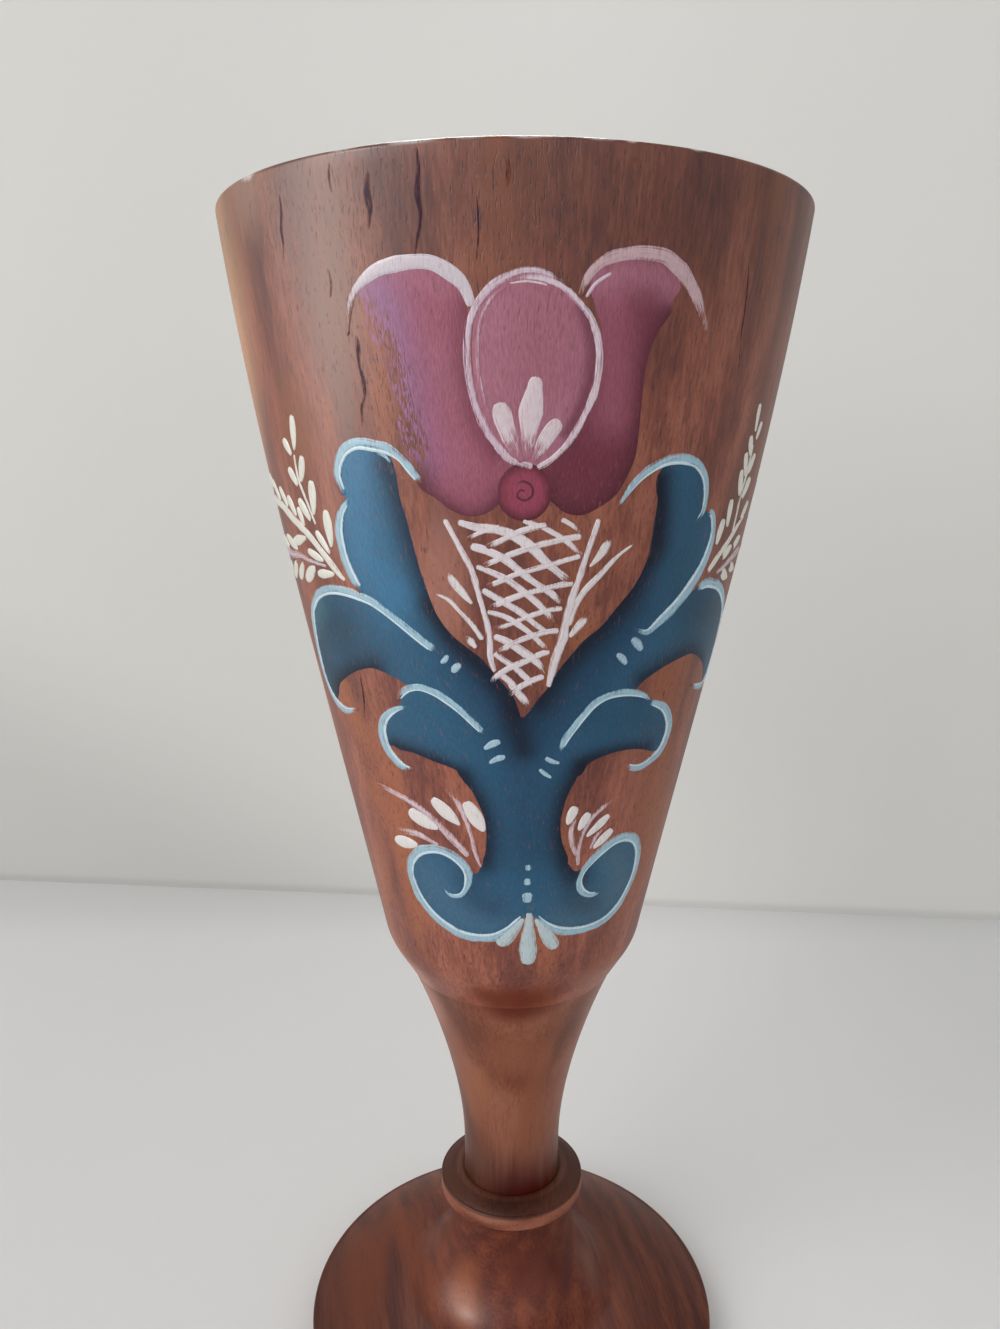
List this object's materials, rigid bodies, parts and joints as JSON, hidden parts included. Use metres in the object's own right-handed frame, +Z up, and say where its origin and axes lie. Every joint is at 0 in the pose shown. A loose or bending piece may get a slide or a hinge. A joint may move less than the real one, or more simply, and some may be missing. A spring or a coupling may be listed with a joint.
{
  "type": "vase",
  "caption": "Turned wooden vase shaped like a tall goblet: flared hollow bowl with a painted flower ornament, waisted stem, thin ring and broad low foot.",
  "frame": {"origin": "centre of the circle that the foot stands on, on the table", "axes": "+Z up along the lathe axis, -Y towards the front with the large painted flower, +X to the viewer's right"},
  "size_m": [0.09, 0.09, 0.2],
  "materials": {
    "foot_wood": "turned face grain, satin varnish",
    "ring_wood": "turned, dark end-grain top, satin varnish",
    "stem_wood": "turned long grain, satin varnish",
    "bowl_wood": "turned long grain with short dark pores, satin varnish, painted flower ornament in plum, white and blue"
  },
  "bodies": {
    "root": {"foot": "foot_wood", "stem_ring": "ring_wood", "stem": "stem_wood", "bowl": "bowl_wood"}
  },
  "joints": []
}
